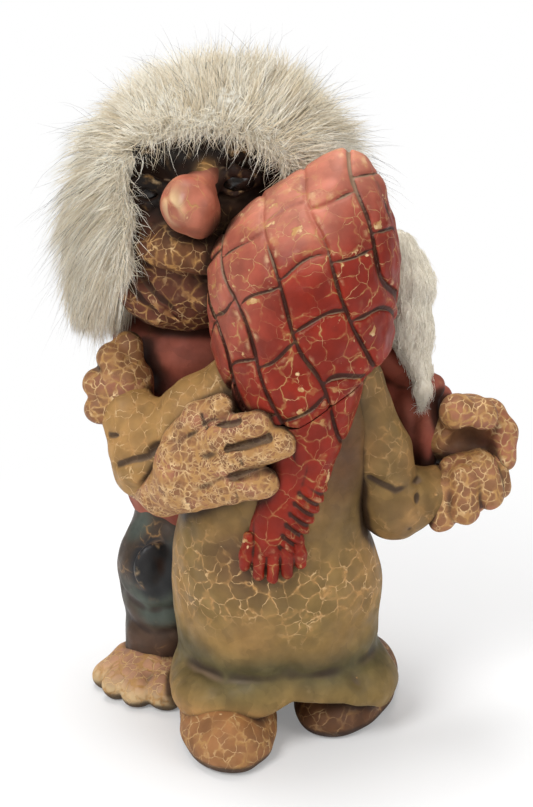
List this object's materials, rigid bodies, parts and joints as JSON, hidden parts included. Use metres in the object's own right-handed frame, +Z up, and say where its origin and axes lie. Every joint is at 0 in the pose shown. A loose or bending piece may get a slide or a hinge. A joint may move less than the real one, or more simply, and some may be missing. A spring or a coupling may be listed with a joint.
{
  "type": "troll couple figurine",
  "caption": "Hand painted folk ornament of two trolls in a dancing embrace, with crackled paint, carved headscarf and a shaggy fur wig.",
  "frame": {"origin": "middle of the pair's bounding box, on the floor under the soles", "axes": "+Z up, -Y towards the viewer of the picture, +X to that viewer's right"},
  "size_m": [0.1376, 0.104, 0.198],
  "materials": {
    "dress_paint": "crackled olive paint over a cream ground",
    "shoe_paint": "crackled brown paint over a cream ground",
    "scarf_paint": "brick red paint with dark grooves and worn cream flecks",
    "skin_paint": "crackled tan paint over a cream ground",
    "face_paint": "crackled dark brown paint",
    "nose_paint": "worn pink red paint",
    "shirt_paint": "dull red paint",
    "trouser_paint": "dark teal paint, rubbed",
    "eye_gloss": "glossy near black",
    "white_wool": "short white woolly fleece",
    "wig_hide": "raw hide",
    "grey_fur": "long grey cream fur with dark guard hairs"
  },
  "bodies": {
    "root": {"her_dress": "dress_paint", "her_left_sleeve": "dress_paint", "her_right_sleeve": "dress_paint", "her_left_shoe": "shoe_paint", "her_right_shoe": "shoe_paint", "headscarf": "scarf_paint", "scarf_tail": "scarf_paint", "scarf_fringe": "scarf_paint", "her_head": "skin_paint", "her_nose": "nose_paint", "her_left_hand": "skin_paint", "her_right_hand": "skin_paint", "her_left_eye": "eye_gloss", "her_right_eye": "eye_gloss", "his_left_eye": "eye_gloss", "his_right_eye": "eye_gloss", "her_cheek_hair": "white_wool", "her_brow_hair": "white_wool", "his_trousers": "trouser_paint", "his_shirt": "shirt_paint", "his_right_sleeve": "shirt_paint", "his_left_sleeve": "shirt_paint", "his_right_foot": "skin_paint", "his_left_foot": "skin_paint", "his_right_hand": "skin_paint", "his_left_hand": "skin_paint", "his_head": "face_paint", "his_nose": "nose_paint", "wig_hide": "wig_hide", "wig_fur": "grey_fur", "wig_side_lock": "grey_fur"}
  },
  "joints": []
}
